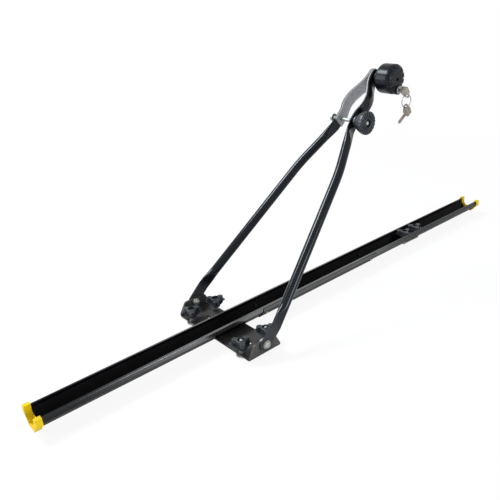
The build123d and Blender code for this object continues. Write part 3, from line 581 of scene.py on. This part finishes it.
arm = {
    # s runs up the lean from the pivots, y out from the middle; bends are the radii at the corners
    "radius": 9.5, "halfFlat": 1.6, "earY": 113.0, "earStraight": 38.0, "earSlant": 8.0,
    "earBlend": 36.0, "kneeS": 366.0, "kneeY": 54.5, "jawStart": 470.0, "jawBlend": 44.0,
    "neckS": 503.0, "neckY": 20.5, "bellyS": 533.0, "bellyY": 31.0, "tipS": 584.0, "tipY": 4.8,
    "endS": 613.5, "cornerRadius": 11.0, "bends": (30.0, 350.0, 60.0, 34.0, 56.0, 70.0),
    "press": 0.25, "hollow": 0.12, "pressed": 0.999, "leastEarSquared": 0.01,
    "crown": 2.3, "crownFrom": (494.0, 520.0), "crownTo": (556.0, 584.0), "crownFall": 0.9,
    "arcStep": 0.8, "rowStep": 1.0,
}
lining = {
    "start": 476.0, "sheet": 2.4, "rim": 0.8, "wrap": 0.05, "round": 0.7, "roundSteps": 5,
    "edgeGap": 0.1, "leastBand": 0.05, "lip": 0.3, "flatShare": 0.98, "flatSteps": 12,
}
halfBand = (pi * (arm["radius"] - arm["halfFlat"]) + 2 * arm["halfFlat"]) / 2


def armLine(extra=0.0):
    corners = [(-halfBand, arm["earY"]), (arm["earStraight"], arm["earY"]),
               (arm["kneeS"], arm["kneeY"]), (arm["jawStart"], arm["neckY"]),
               (arm["neckS"], arm["neckY"]), (arm["bellyS"], arm["bellyY"]),
               (arm["tipS"], arm["tipY"]), (arm["endS"] + extra, arm["tipY"])]
    return resample(rounded(corners, arm["bends"], arm["arcStep"]), arm["rowStep"])


def bandWidth(s, extra=0.0):
    # Half width of the pressed band: full, then drawn in to the ear's round end and the jaw's corners.
    full = halfBand + extra
    corner = arm["cornerRadius"] + extra
    fromEnd = np.clip(s - (arm["endS"] + extra - corner), 0, corner)
    jaw = full - corner + np.sqrt(np.maximum(corner ** 2 - fromEnd ** 2, 0))
    ear = np.sqrt(np.maximum(halfBand ** 2 - np.minimum(s, 0) ** 2, arm["leastEarSquared"]))
    return np.minimum(np.where(s < 0, ear, full), jaw)


def stadium(count=18, along=10):
    # Closed outline in three parts: share of the flat, cosine and sine on the two round edges.
    angle = np.linspace(-pi / 2, pi / 2, count)
    flat = np.linspace(1, -1, along + 2)[1:-1]
    share = np.concatenate([np.ones(count), flat, -np.ones(count), -flat])
    across = np.concatenate([np.cos(angle), np.zeros(along), -np.cos(angle), np.zeros(along)])
    height = np.concatenate([np.sin(angle), np.ones(along), -np.sin(angle), -np.ones(along)])
    return share, across, height


def armGrid(side):
    # press is 0 for the round tube and 1 for the flat band. The girth stays the same:
    # half width = pi (radius - half thickness) / 2 + half thickness.
    s, y, heading = armLine()
    lower = atan2(arm["kneeY"] - arm["earY"], arm["kneeS"] - arm["earStraight"])
    upper = atan2(arm["neckY"] - arm["kneeY"], arm["jawStart"] - arm["kneeS"])
    slant = arm["earStraight"] + arm["earSlant"] * cos(lower)
    foot = slant + arm["earBlend"] * cos(lower)
    top = arm["jawStart"] - arm["jawBlend"] * cos(upper)
    press = 1 - smooth((s - slant) / (foot - slant)) + smooth((s - top) / (arm["jawStart"] - top))
    half = arm["radius"] + (arm["halfFlat"] - arm["radius"]) * press
    wide = np.where(press > arm["pressed"], bandWidth(s), pi * (arm["radius"] - half) / 2 + half)
    half = np.minimum(half, wide)
    share, across, height = stadium()
    hollow = 1 - arm["press"] * press[:, None] * arm["hollow"] * (1 - share ** 2)
    n = share * (wide - half)[:, None] + across * half[:, None]
    out = height * half[:, None] * hollow
    # The jaw band's outer face swells between its two bolts: crown * (1 - crownFall * share ** 2).
    (start, full), (fading, end) = arm["crownFrom"], arm["crownTo"]
    crown = arm["crown"] * smooth((s - start) / (full - start)) * smooth((end - s) / (end - fading))
    out = out + np.clip(height, 0, 1) * crown[:, None] * (1 - arm["crownFall"] * share ** 2)
    return fromLine(s, y, heading, out, n, side)


def fromLine(s, y, heading, out, n, side):
    # Section points out from the line and n across it, put in the arms' leaning plane.
    alongS = s[:, None] - out * np.sin(heading)[:, None]
    alongY = side * (y[:, None] + out * np.cos(heading)[:, None])
    return placed(np.stack([alongS, alongY, n], axis=-1), armOrigin, armAxes)


def liningGrid(side):
    s, y, heading = armLine(lining["rim"])
    keep = s >= lining["start"]
    s, y, heading = s[keep], y[keep], heading[keep]
    face = -arm["halfFlat"] - lining["sheet"]
    lip = lining["wrap"] - arm["halfFlat"]
    curve = lining["round"]
    turn = np.linspace(0, pi / 2, lining["roundSteps"])
    corner = curve * np.stack([np.sin(turn) - 1, 1 - np.cos(turn)], axis=1)
    # Offsets from the outer edge, then from the band's edge.
    low = corner + (0, face)
    high = (corner * (1, -1))[::-1] + (0, lip)
    outerEdge = np.concatenate([low, high])
    slot = np.array([(lining["edgeGap"], lip), (lining["edgeGap"], -arm["halfFlat"])])
    wide = bandWidth(s, lining["rim"])
    band = np.where(s < arm["endS"], bandWidth(s), lining["leastBand"])
    band = np.minimum(band, np.maximum(wide - lining["lip"], lining["leastBand"]))
    flat = np.linspace(-lining["flatShare"], lining["flatShare"], lining["flatSteps"])
    nRight = wide[:, None] + outerEdge[:, 0]
    nSlot = band[:, None] + slot[:, 0]
    inside = flat * (wide - curve)[:, None]
    n = np.concatenate([inside, nRight, nSlot, -nSlot[:, ::-1], -nRight[:, ::-1]], axis=1)
    outs = np.concatenate([np.full(len(flat), face), outerEdge[:, 1], slot[:, 1], slot[::-1, 1],
                           outerEdge[::-1, 1]])
    out = np.repeat(outs[None, :], len(s), axis=0)
    return fromLine(s, y, heading, out, n, side)


def buildArms():
    for word, side in (("far", 1), ("near", -1)):
        finishPiece(word + "Arm", [closedTube(armGrid(side))], "arms", "arm_paint", [word + "_arm"],
                    crease=50)
        finishPiece(word + "Lining", [closedTube(liningGrid(side))], "arms", "lining_rubber",
                    [word + "_lining"], crease=40)


buildArms()
print("arms ready")

# Three-lobed clamp knobs.

lobed = {
    "waist": 9.6, "reach": 13.8, "lobe": 5.7, "web": 5.0, "head": 11.5, "stem": 11.0,
    "stemFoot": 5.6, "stemTop": 7.6, "hub": 6.6, "hubDepth": 5.0, "edge": 1.8, "under": 1.2,
    "droop": 1.0, "draft": 0.05, "footHeight": 5.4, "seatGap": 0.3, "farthest": 30.0, "halvings": 40,
    "stemEnd": 0.6, "flare": 0.4, "flareRise": 0.2, "flareShares": (0.3, 0.8), "columns": 144,
    "arcRows": 7, "sideFrom": 3, "sideTo": 8, "sideRows": 4, "draftLoss": 0.4, "hubRim": 0.8,
    "topShares": (0.8, 0.55, 0.3, 0.12), "hubBends": (0.6, 0.5), "hubStep": 0.2,
}


def lobeReach(angle):
    # Radius of the outline, found by halving: a round waist and three round lobes, joined by
    # the soft minimum lobe * blend + waist * (1 - blend) - web * blend * (1 - blend).
    low, high = np.zeros_like(angle), np.full_like(angle, lobed["farthest"])
    for _ in range(lobed["halvings"]):
        radius = (low + high) / 2
        x, y = radius * np.cos(angle), radius * np.sin(angle)
        gap = radius - lobed["waist"]
        for turn in range(3):
            middle = 2 * pi * turn / 3
            ball = np.hypot(x - lobed["reach"] * cos(middle), y - lobed["reach"] * sin(middle))
            blend = np.clip(0.5 + (gap - ball + lobed["lobe"]) / (2 * lobed["web"]), 0, 1)
            soft = (ball - lobed["lobe"]) * blend + gap * (1 - blend)
            gap = soft - lobed["web"] * blend * (1 - blend)
        low, high = np.where(gap < 0, radius, low), np.where(gap < 0, high, radius)
    return (low + high) / 2


def lobedKnob(origin):
    # Rows run from the stem's foot, under the lobes, up their sides and over the top to the hub.
    # Each ring is a share of the lobed outline, an offset from it or a plain radius, and a height.
    stem, edge, under = lobed["stem"], lobed["edge"], lobed["under"]
    top = stem + lobed["head"]
    rimTop = top - lobed["droop"]
    turn = np.linspace(0, pi / 2, lobed["arcRows"])
    sides = np.linspace(lobed["sideFrom"], lobed["sideTo"], lobed["sideRows"])
    angle = np.linspace(0, 2 * pi, lobed["columns"], endpoint=False)
    reach = lobeReach(angle)
    rings = [(0, lobed["stemFoot"], 0.0), (0, lobed["stemTop"], stem - lobed["stemEnd"])]
    rings += [(share, lobed["stemTop"] + lobed["flare"], stem + lobed["flareRise"] * share)
              for share in lobed["flareShares"]]
    rings += [(1, under * (sin(t) - 1), stem + under * (1 - cos(t))) for t in turn]
    rings += [(1, -lobed["draft"] * h, stem + h) for h in sides]
    rings += [(1, edge * (cos(t) - 1) - lobed["draftLoss"], rimTop - edge * (1 - sin(t))) for t in turn]
    rows = []
    for share, offset, height in rings:
        radius = share * (reach + offset) + (1 - share) * np.full_like(angle, offset)
        rows.append(np.stack([radius, np.full_like(angle, height)], axis=-1))
    rim = rows[-1][:, 0]
    hub, hubRim, hubFloor = lobed["hub"], lobed["hubRim"], top - lobed["hubDepth"]
    for share in lobed["topShares"]:
        radius = hub + hubRim + (rim - hub - hubRim) * share
        height = top - lobed["droop"] * share
        rows.append(np.stack([radius, np.full_like(angle, height)], axis=-1))
    well = rounded([(hub + hubRim, top), (hub, top), (hub, hubFloor), (nearAxis, hubFloor)],
                   lobed["hubBends"], lobed["hubStep"])
    for radius, height in well:
        rows.append(np.stack([np.full_like(angle, radius), np.full_like(angle, height)], axis=-1))
    radius, height = np.array(rows)[..., 0], np.array(rows)[..., 1]
    return closedTube(revolved(radius, height, angle, origin, uprightAxes))


clampPlaces = {
    # x and y of the clamp's middle, half its bolt spacing, and the height of the knobs' seat
    "near_clamp": (0.0, -79.0, 31.0, 3.0), "far_clamp": (0.0, 79.0, 31.0, 3.0),
    "channel_clamp": (619.0, 0.0, 24.0, 4.2),
}


def buildKnobs():
    for clamp, (x, y, half, seat) in clampPlaces.items():
        for end, side in (("rear", -1), ("front", 1)):
            node = f"{clamp}_{end}_knob"
            origin = (x + side * half, y, seat + lobed["seatGap"] + lobed["footHeight"])
            finishPiece(node + "Lobes", [lobedKnob(origin)], node, "knob_plastic", [node], crease=40)


buildKnobs()
print("clamp knobs ready")

# Round jaw knob.

roundKnob = {
    "s": 487.0, "seat": 24.0, "length": 31.0, "neck": 13.0, "neckLength": 5.0, "shoulder": 19.6,
    "shoulderLength": 13.0, "radius": 23.9, "rim": 8.0, "recess": 8.5, "recessDepth": 6.0,
    "mouth": 0.8, "bends": (0.8, 3.0, 4.0, 5.0, 2.6, 0.5, 0.5, 0.6), "arcStep": 0.5, "rowStep": 0.7,
    "columns": 320, "ribs": 20, "ribDepth": 1.5, "ribSharpness": 1.4, "faceIn": 1.6, "faceOut": 1.2,
    "faceDrop": 3.2, "faceFade": 2.0, "sideDepth": 0.35, "sideFoot": 14, "sideFootFade": 3,
    "sideTop": 1.5, "sideTopFade": 2, "sideRadius": 20, "sideRadiusFade": 2,
}


def roundWave(radius, height, angle):
    # Radial ribs on the face and shallow ones down the rim.
    knob, length = roundKnob, roundKnob["length"]
    within = smooth((radius - knob["recess"] - knob["mouth"]) / knob["faceIn"])
    across = within * smooth((knob["radius"] - radius) / knob["faceOut"])
    face = across * smooth((height - length + knob["faceDrop"]) / knob["faceFade"])
    tooth = smooth(0.5 + knob["ribSharpness"] * np.sin(knob["ribs"] * angle))
    above = smooth((height - knob["sideFoot"]) / knob["sideFootFade"])
    below = smooth((length - knob["sideTop"] - height) / knob["sideTopFade"])
    side = above * below * smooth((radius - knob["sideRadius"]) / knob["sideRadiusFade"])
    return radius - knob["sideDepth"] * side * tooth, height - knob["ribDepth"] * face * tooth


def buildRoundKnob():
    knob, length = roundKnob, roundKnob["length"]
    deep = length - knob["recessDepth"]
    corners = [(nearAxis, 0), (knob["neck"], 0), (knob["neck"], knob["neckLength"]),
               (knob["shoulder"], knob["shoulderLength"]),
               (knob["radius"], length - knob["rim"]), (knob["radius"], length),
               (knob["recess"] + knob["mouth"], length), (knob["recess"], length - knob["mouth"]),
               (knob["recess"], deep), (nearAxis, deep)]
    profile = denser(rounded(corners, knob["bends"], knob["arcStep"]), knob["rowStep"])
    origin = armPoint(knob["s"], -knob["seat"])
    axes = np.array([armAxes[0], armAxes[2], -armAxes[1]])
    shell = lathe(profile, origin, axes, knob["columns"], roundWave)
    finishPiece("jawKnobBody", [shell], "jaw_knob", "knob_plastic", ["jaw_knob"], crease=50)


buildRoundKnob()
print("jaw knob ready")

# Locking knob.

lockKnob = {
    "s": 600.5, "drop": 4.0, "backY": 10.7, "radius": 30.2, "back": 39.3, "front": 9.1,
    "collar": 16.5, "collarLength": 3.0, "taper": 9.6, "face": 19.0, "rim": 2.0, "seam": 0.6,
    "seamHeight": 1.2, "seamDepth": 1.5, "shellGap": 0.05, "backBends": (0.8, 2.0, 7.0, 0.5, 0.3),
    "backColumns": 160, "faceBends": (0.3, 0.5, 4.0, 10.0, 0.4, 0.4, 0.5), "faceColumns": 288,
    "crest": 5.5, "arcStep": 0.5, "rowStep": 0.6, "socket": 3.4, "socketMouth": 0.6, "socketDepth": 6.0,
    "flutes": 12, "fluteDepth": 1.3, "fluteShape": 0.8, "fluteIn": 3.5, "fluteInFade": 4.5,
    "fluteFoot": 1.6, "fluteFootFade": 2.0, "fluteInward": 0.55, "fluteDown": 0.85,
    "side": 4.4, "boltDrop": 21.5, "boss": 9.8, "bossRise": 2.5, "bossFoot": 0.4, "bossGap": 0.1,
    "bossBends": (0.4, 1.3), "bossStep": 0.3, "bezel": 8.4, "bezelRise": 1.4, "bezelDepth": 1.5,
    "bezelBends": (0.2, 0.7, 0.4), "bezelStep": 0.2, "ringColumns": 96, "barrel": 5.6,
    "barrelGap": 0.08, "bezelMouth": 0.9, "bezelSlope": 0.8,
}


def fluteWave(radius, height, angle):
    # Round-bottomed finger flutes that run out from the face and fade at the rim. Each is
    # depth * cos(flutes * angle) ** shape deep where the cosine is positive.
    knob = lockKnob
    inside = smooth((radius - knob["face"] + knob["fluteIn"]) / knob["fluteInFade"])
    top = smooth((height - knob["back"] - knob["fluteFoot"]) / knob["fluteFootFade"])
    trough = np.clip(np.cos(knob["flutes"] * angle), 0, 1) ** knob["fluteShape"]
    cut = knob["fluteDepth"] * inside * top * trough
    return radius - knob["fluteInward"] * cut, height - knob["fluteDown"] * cut


def buildLockKnob():
    knob = lockKnob
    origin = armPoint(knob["s"], -knob["backY"], -knob["drop"])
    back, top = knob["back"], knob["back"] + knob["front"]
    taper = knob["collarLength"] + knob["taper"]
    radius, seam = knob["radius"], knob["seam"]
    seamRadius, seamHeight = radius - knob["seamDepth"] * seam, knob["seamHeight"] * seam
    corners = [(nearAxis, 0), (knob["collar"], 0), (knob["collar"], knob["collarLength"]),
               (radius, taper), (radius, back - seamHeight), (seamRadius, back), (nearAxis, back)]
    profile = rounded(corners, knob["backBends"], knob["arcStep"])
    finishPiece("lockKnobBarrel", [lathe(profile, origin, outwardAxes, knob["backColumns"])],
                "lock_knob", "lock_plastic", ["lock_knob_back"], crease=40)

    socket, mouth, deep = knob["socket"], knob["socketMouth"], top - knob["socketDepth"]
    foot = back + knob["shellGap"]
    corners = [(nearAxis, foot), (seamRadius, foot), (radius, back + seamHeight),
               (radius, back + knob["rim"]), (knob["face"] + knob["crest"], top), (socket + mouth, top),
               (socket, top - mouth), (socket, deep), (nearAxis, deep)]
    profile = denser(rounded(corners, knob["faceBends"], knob["arcStep"]), knob["rowStep"])
    front = lathe(profile, origin, outwardAxes, knob["faceColumns"], fluteWave)

    # The lock's boss and bezel stand beside and below the bolt, on the knob's face.
    bossAt = origin + np.array((knob["side"], -knob["boltDrop"], 0)) @ outwardAxes
    high = top + knob["bossRise"]
    inner, bossFoot = knob["bezel"] + knob["bossGap"], back + knob["bossFoot"]
    corners = [(inner, bossFoot), (knob["boss"], bossFoot), (knob["boss"], high), (inner, high)]
    profile = rounded(corners, knob["bossBends"], knob["bossStep"])
    boss = lathe(profile, bossAt, outwardAxes, knob["ringColumns"], ring=True)
    finishPiece("lockKnobFace", [front, boss], "lock_knob", "lock_plastic", ["lock_knob_front"],
                crease=40)

    inner, low, rise = knob["barrel"] + knob["barrelGap"], high - knob["bezelDepth"], high + knob["bezelRise"]
    corners = [(inner, low), (knob["bezel"], low), (knob["bezel"], rise),
               (knob["barrel"] + knob["bezelMouth"], rise), (inner, rise - knob["bezelSlope"])]
    profile = rounded(corners, knob["bezelBends"], knob["bezelStep"])
    bezel = lathe(profile, bossAt, outwardAxes, knob["ringColumns"], ring=True)
    finishPiece("lockBezelRing", [bezel], "lock_knob", "lock_metal", ["lock_bezel"], crease=40)


buildLockKnob()
print("locking knob ready")

# Base plate: a copy of the CAD plate with soft edges. The other CAD nodes stay and get materials.

plate = {
    # widths in millimetres, angles in degrees
    "merge": 0.001, "flat": 1.0, "crease": 32.0, "bevel": 0.5, "segments": 3, "bevelFrom": 40.0,
}


def buildPlate():
    mesh = nodes["base_plate"].data.copy()
    mesh.name = "plateSoft"
    work = bmesh.new()
    work.from_mesh(mesh)
    bmesh.ops.remove_doubles(work, verts=work.verts, dist=plate["merge"] / 1000)
    flat = radians(plate["flat"])
    bmesh.ops.dissolve_limit(work, angle_limit=flat, verts=work.verts, edges=work.edges)
    work.to_mesh(mesh)
    work.free()
    slotName = slotOf["base_plate"]
    mesh.materials.clear()
    mesh.materials.append(finishes[slotName])
    mesh.polygons.foreach_set("use_smooth", np.ones(len(mesh.polygons), bool))
    mesh.set_sharp_from_angle(angle=radians(plate["crease"]))
    piece = bpy.data.objects.new("plateSoft", mesh)
    bpy.context.scene.collection.objects.link(piece)
    bevel = piece.modifiers.new("edges", "BEVEL")
    bevel.width = plate["bevel"] / 1000
    bevel.segments = plate["segments"]
    bevel.limit_method = "ANGLE"
    bevel.angle_limit = radians(plate["bevelFrom"])
    bevel.harden_normals = True
    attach(piece, "root")
    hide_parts("base_plate")


buildPlate()
for node, thing in nodes.items():
    thing.data.materials.clear()
    thing.data.materials.append(finishes[slotOf[node]])
print("plate ready, materials on every node")
